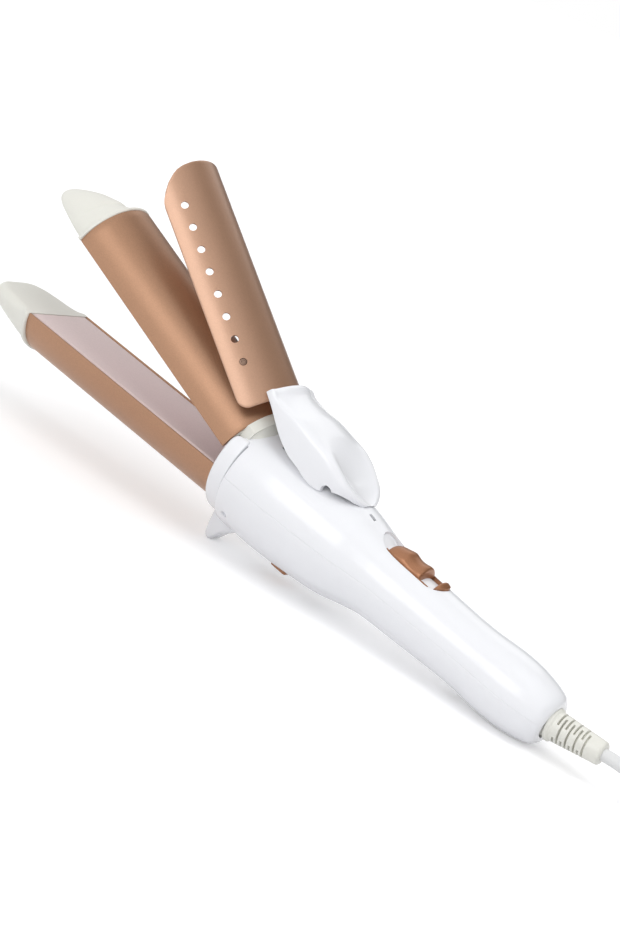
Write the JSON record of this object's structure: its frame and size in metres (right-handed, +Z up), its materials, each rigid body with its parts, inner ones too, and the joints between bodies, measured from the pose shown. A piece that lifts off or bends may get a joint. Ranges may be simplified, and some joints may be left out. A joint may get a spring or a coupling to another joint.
{
  "type": "hair curler straightener",
  "caption": "Hand-held hair tool with a fixed lower jaw, a hinged half-round upper barrel, a perforated clip on a thumb lever, a slide switch, a lock and a mains cord.",
  "frame": {"origin": "centre of the tool's footprint on the table, without the cord and plug: x and y are the middle of its bounding box and z = 0 is the table", "axes": "+X runs from the cord end to the tips of the jaws, +Y points to the tool's left, +Z up; the tool rests on the lug under its collar and on the heel of its handle"},
  "size_m": [0.4071, 0.0496, 0.1101],
  "materials": {
    "white_gloss": "moulded, glossy, faintly cool white",
    "cream_plastic": "heat-resistant moulding, satin, warm off-white",
    "copper_enamel": "satin rose-copper coating on drawn metal",
    "clip_copper": "satin rose-copper coating on sheet metal",
    "plate_coating": "smooth satin coating, pale pink-grey",
    "copper_plastic": "metallic copper lacquer on a moulding",
    "steel": "plain bright steel",
    "rivet_metal": "dark bronze tone",
    "heater_ceramic": null,
    "dark_plastic": "moulded, dull black",
    "board_green": "solder mask green",
    "cord_jacket": "soft satin jacket, off-white",
    "lead_sleeve": "heat-proof sleeve, dull",
    "tie_plastic": "flexible strip, dull"
  },
  "bodies": {
    "housing": {"handle_upper_shell": "white_gloss", "handle_lower_shell": "white_gloss", "front_collar": "white_gloss", "lower_arm_shell": "copper_enamel", "lower_plate": "plate_coating", "lower_tip_cap": "cream_plastic", "lower_arm_block": "cream_plastic", "lower_heater": "heater_ceramic", "lower_heater_clamp": "steel", "barrel_pin": "steel", "switch_bezel": "copper_plastic", "switch_body": "dark_plastic", "circuit_board": "board_green", "thermal_fuse": "heater_ceramic", "inner_leads": "lead_sleeve", "shell_screws": "steel", "strain_relief": "cream_plastic", "inner_cord": "cord_jacket", "cord_clamp": "cream_plastic", "cord": "cord_jacket", "cord_hank": "cord_jacket", "cord_tie": "tie_plastic", "cord_end": "cord_jacket", "plug_body": "cream_plastic", "plug_pins": "steel"},
    "barrel": {"upper_barrel_shell": "copper_enamel", "upper_plate": "plate_coating", "upper_tip_cap": "cream_plastic", "upper_heater": "heater_ceramic", "upper_heater_clamp": "steel", "barrel_carrier": "cream_plastic", "barrel_spring": "steel"},
    "clip": {"clip_plate": "clip_copper", "clip_rivets": "rivet_metal", "thumb_lever": "white_gloss", "clip_pin": "steel", "clip_spring": "steel"},
    "power_slider": {"switch_slider": "copper_plastic"},
    "lock": {"lock_slider": "copper_plastic"}
  },
  "joints": [
    {"name": "barrel_hinge", "type": "hinge", "parent": "housing", "child": "barrel", "pos_m": [-0.00257, 0, 0.02195], "axis": [0, -1, 0], "range_deg": [-16.4, 0], "stiffness_Nm_per_rad": 0.15, "springref_deg": 34.38},
    {"name": "clip_hinge", "type": "hinge", "parent": "barrel", "child": "clip", "pos_m": [-0.00992, 0, 0.04468], "axis": [0, -1, 0], "range_deg": [-16, 0]},
    {"name": "power_slide", "type": "slide", "parent": "housing", "child": "power_slider", "axis": [-0.9918, 0, -0.1281], "range_m": [0, 0.005]},
    {"name": "lock_slide", "type": "slide", "parent": "housing", "child": "lock", "axis": [0.9918, 0, 0.1281], "range_m": [0, 0.004]}
  ]
}
